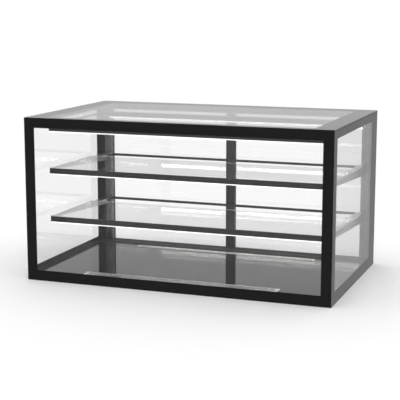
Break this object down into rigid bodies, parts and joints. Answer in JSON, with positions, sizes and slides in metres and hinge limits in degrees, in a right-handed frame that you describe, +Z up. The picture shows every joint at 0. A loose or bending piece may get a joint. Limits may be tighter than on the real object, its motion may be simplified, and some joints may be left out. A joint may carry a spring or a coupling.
{
  "type": "bakery display case",
  "caption": "Countertop glass case for showing baked goods: glazed all round, lit glass shelves over a black deck, and sliding glass doors at the back.",
  "frame": {"origin": "middle of the footprint, on the counter under the base rails", "axes": "+X along the width, to a customer's right; +Y from the front glass to the sliding doors; +Z up"},
  "size_m": [1.16, 0.7, 0.608],
  "materials": {
    "clear_glass": "clear polished toughened glass",
    "black_print": "black enamel printed on the glass",
    "black_gloss": "mirror-gloss black glass",
    "black_steel": "black powder coat, semi-gloss",
    "dark_aluminium": "black anodised, satin",
    "satin_steel": "satin",
    "stainless": "brushed",
    "diffuser": "opal white",
    "white_nylon": "matte",
    "black_nylon": "matte",
    "rubber": "matte",
    "brush": "dense pile"
  },
  "bodies": {
    "case": {"deck_panel": "black_gloss", "front_base_rail": "black_steel", "front_glass": "clear_glass", "front_grille": "stainless", "front_print": "black_print", "left_base_rail": "black_steel", "left_door_stop": "rubber", "left_glass": "clear_glass", "left_post": "black_steel", "left_post_screw_lower": "stainless", "left_post_screw_upper": "stainless", "left_print": "black_print", "left_shelf_upright": "black_steel", "lower_front_diffuser": "diffuser", "lower_front_light_profile": "dark_aluminium", "lower_left_arm": "satin_steel", "lower_rear_cross_bar": "black_steel", "lower_right_arm": "satin_steel", "lower_shelf_glass": "clear_glass", "rear_base_rail": "black_steel", "rear_bottom_track": "dark_aluminium", "rear_grille": "stainless", "rear_top_track": "dark_aluminium", "right_base_rail": "black_steel", "right_door_stop": "rubber", "right_glass": "clear_glass", "right_post": "black_steel", "right_post_screw_lower": "stainless", "right_post_screw_upper": "stainless", "right_print": "black_print", "right_shelf_upright": "black_steel", "top_front_diffuser": "diffuser", "top_front_light_profile": "dark_aluminium", "top_glass": "clear_glass", "top_left_arm": "satin_steel", "top_print": "black_print", "top_rear_diffuser": "diffuser", "top_rear_light_profile": "dark_aluminium", "top_right_arm": "satin_steel", "upper_front_diffuser": "diffuser", "upper_front_light_profile": "dark_aluminium", "upper_left_arm": "satin_steel", "upper_rear_cross_bar": "black_steel", "upper_right_arm": "satin_steel", "upper_shelf_glass": "clear_glass"},
    "left_door": {"left_door_bottom_shoe": "black_nylon", "left_door_brush": "brush", "left_door_glass": "clear_glass", "left_door_grip": "dark_aluminium", "left_door_left_glide": "white_nylon", "left_door_right_glide": "white_nylon", "left_door_stile": "dark_aluminium", "left_door_top_guide": "black_nylon"},
    "right_door": {"right_door_bottom_shoe": "black_nylon", "right_door_glass": "clear_glass", "right_door_grip": "dark_aluminium", "right_door_left_glide": "white_nylon", "right_door_right_glide": "white_nylon", "right_door_stile": "dark_aluminium", "right_door_top_guide": "black_nylon"}
  },
  "joints": [
    {"name": "left_door_slide", "type": "slide", "parent": "case", "child": "left_door", "axis": [1, 0, 0], "range_m": [0, 0.48]},
    {"name": "right_door_slide", "type": "slide", "parent": "case", "child": "right_door", "axis": [1, 0, 0], "range_m": [-0.48, 0]}
  ]
}
